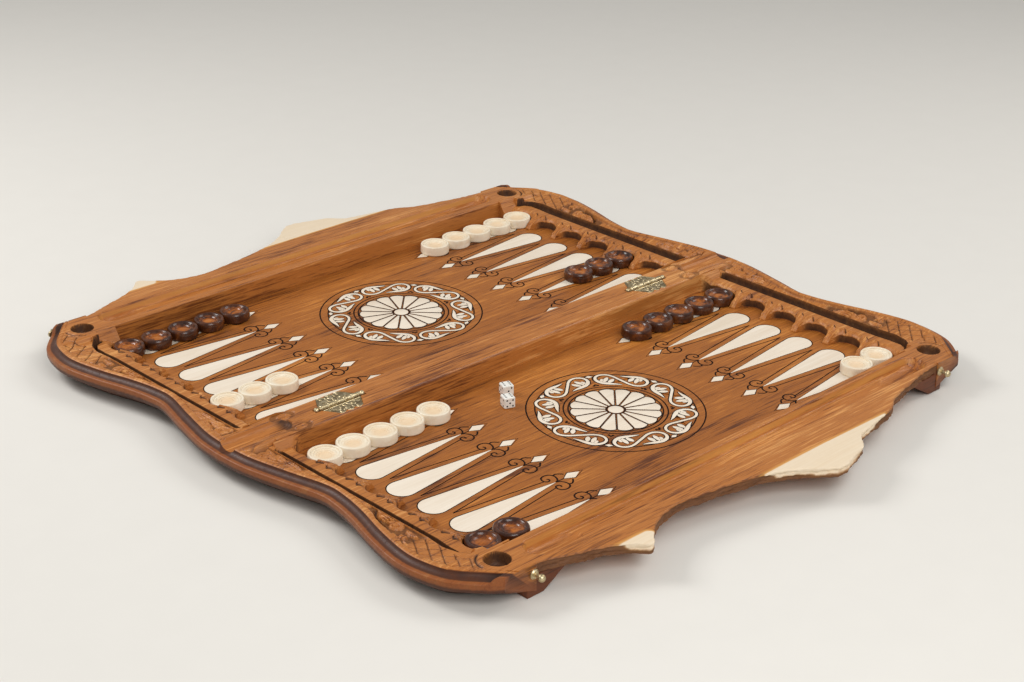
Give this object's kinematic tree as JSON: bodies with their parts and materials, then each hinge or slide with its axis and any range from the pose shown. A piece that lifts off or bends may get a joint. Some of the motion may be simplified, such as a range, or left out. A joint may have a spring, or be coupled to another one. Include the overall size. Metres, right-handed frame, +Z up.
{
  "type": "backgammon board",
  "caption": "Carved hardwood backgammon board that folds like a box, with inlaid points and medallions, scalloped rails, live edges, hooks, checkers and dice.",
  "frame": {"origin": "centre of the open board on the plane it rests on", "axes": "+X along the fold line towards the right end, +Y from the fold towards the lid half's latch side, +Z up"},
  "size_m": [0.6122, 0.688, 0.0299],
  "materials": {
    "carved_rail": "oiled carved walnut-like hardwood",
    "field_wood": "smooth oiled hardwood, grain along the fold",
    "maple_inlay": "smooth pale inlaid wood",
    "antique_brass": "antique brass, worn bright on the relief",
    "light_checker": "satin pale turned wood",
    "dark_checker": "glossy lacquered dark burr wood",
    "die": "glossy white with black pips"
  },
  "bodies": {
    "base_half": {"base_end_rail_left": "carved_rail", "base_end_rail_right": "carved_rail", "base_field_panel": "field_wood", "base_hinge_rail": "carved_rail", "base_hinge_screws": "antique_brass", "base_latch_rail": "carved_rail", "base_medallion_inlay": "maple_inlay", "base_point_inlays": "maple_inlay", "hinge_leaf_base_left": "antique_brass", "hinge_leaf_base_right": "antique_brass", "hinge_pin_left": "antique_brass", "hinge_pin_right": "antique_brass", "latch_knob_left": "antique_brass", "latch_knob_right": "antique_brass"},
    "lid_half": {"hinge_leaf_lid_left": "antique_brass", "hinge_leaf_lid_right": "antique_brass", "latch_hook_screws": "antique_brass", "lid_end_rail_left": "carved_rail", "lid_end_rail_right": "carved_rail", "lid_field_panel": "field_wood", "lid_hinge_rail": "carved_rail", "lid_hinge_screws": "antique_brass", "lid_latch_rail": "carved_rail", "lid_medallion_inlay": "maple_inlay", "lid_point_inlays": "maple_inlay"},
    "hook_left": {"latch_hook_left": "antique_brass"},
    "hook_right": {"latch_hook_right": "antique_brass"},
    "checkers_lid_left_outer": {"checker_dark_01": "dark_checker", "checker_dark_02": "dark_checker", "checker_dark_03": "dark_checker", "checker_dark_04": "dark_checker", "checker_dark_05": "dark_checker"},
    "checkers_lid_left_second": {"checker_light_01": "light_checker", "checker_light_02": "light_checker", "checker_light_03": "light_checker"},
    "checkers_lid_right_outer": {"checker_light_04": "light_checker", "checker_light_05": "light_checker", "checker_light_06": "light_checker", "checker_light_07": "light_checker", "checker_light_08": "light_checker"},
    "checkers_lid_right_second": {"checker_dark_06": "dark_checker", "checker_dark_07": "dark_checker", "checker_dark_08": "dark_checker"},
    "checkers_base_left_fold": {"checker_light_09": "light_checker", "checker_light_10": "light_checker", "checker_light_11": "light_checker", "checker_light_12": "light_checker", "checker_light_13": "light_checker"},
    "checkers_base_left_outer": {"checker_dark_09": "dark_checker", "checker_dark_10": "dark_checker"},
    "checkers_base_right_fold": {"checker_dark_11": "dark_checker", "checker_dark_12": "dark_checker", "checker_dark_13": "dark_checker", "checker_dark_14": "dark_checker", "checker_dark_15": "dark_checker"},
    "checkers_base_right_outer": {"checker_light_14": "light_checker", "checker_light_15": "light_checker"},
    "die_1": {"die_1": "die"},
    "die_2": {"die_2": "die"}
  },
  "joints": [
    {"name": "lid_fold", "type": "hinge", "parent": "base_half", "child": "lid_half", "pos_m": [0, 0, 0.02715], "axis": [1, 0, 0], "range_deg": [0, 180]},
    {"name": "hook_left_swing", "type": "hinge", "parent": "lid_half", "child": "hook_left", "pos_m": [-0.243, 0.2895, 0.019], "axis": [0, 1, 0], "range_deg": [0, 90]},
    {"name": "hook_right_swing", "type": "hinge", "parent": "lid_half", "child": "hook_right", "pos_m": [0.243, 0.2895, 0.019], "axis": [0, -1, 0], "range_deg": [0, 90]},
    {"name": "checkers_lid_left_outer_slide", "type": "slide", "parent": "lid_half", "child": "checkers_lid_left_outer", "axis": [1, 0, 0], "range_m": [0, 0.04]},
    {"name": "checkers_lid_left_second_slide", "type": "slide", "parent": "lid_half", "child": "checkers_lid_left_second", "axis": [1, 0, 0], "range_m": [0, 0.04]},
    {"name": "checkers_lid_right_outer_slide", "type": "slide", "parent": "lid_half", "child": "checkers_lid_right_outer", "axis": [-1, 0, 0], "range_m": [0, 0.04]},
    {"name": "checkers_lid_right_second_slide", "type": "slide", "parent": "lid_half", "child": "checkers_lid_right_second", "axis": [-1, 0, 0], "range_m": [0, 0.04]},
    {"name": "checkers_base_left_fold_slide", "type": "slide", "parent": "base_half", "child": "checkers_base_left_fold", "axis": [1, 0, 0], "range_m": [0, 0.04]},
    {"name": "checkers_base_left_outer_slide", "type": "slide", "parent": "base_half", "child": "checkers_base_left_outer", "axis": [1, 0, 0], "range_m": [0, 0.04]},
    {"name": "checkers_base_right_fold_slide", "type": "slide", "parent": "base_half", "child": "checkers_base_right_fold", "axis": [-1, 0, 0], "range_m": [0, 0.04]},
    {"name": "checkers_base_right_outer_slide", "type": "slide", "parent": "base_half", "child": "checkers_base_right_outer", "axis": [-1, 0, 0], "range_m": [0, 0.04]},
    {"name": "die_1_lift", "type": "slide", "parent": "base_half", "child": "die_1", "axis": [0, 0, 1], "range_m": [0, 0.02]},
    {"name": "die_2_lift", "type": "slide", "parent": "base_half", "child": "die_2", "axis": [0, 0, 1], "range_m": [0, 0.02]}
  ]
}
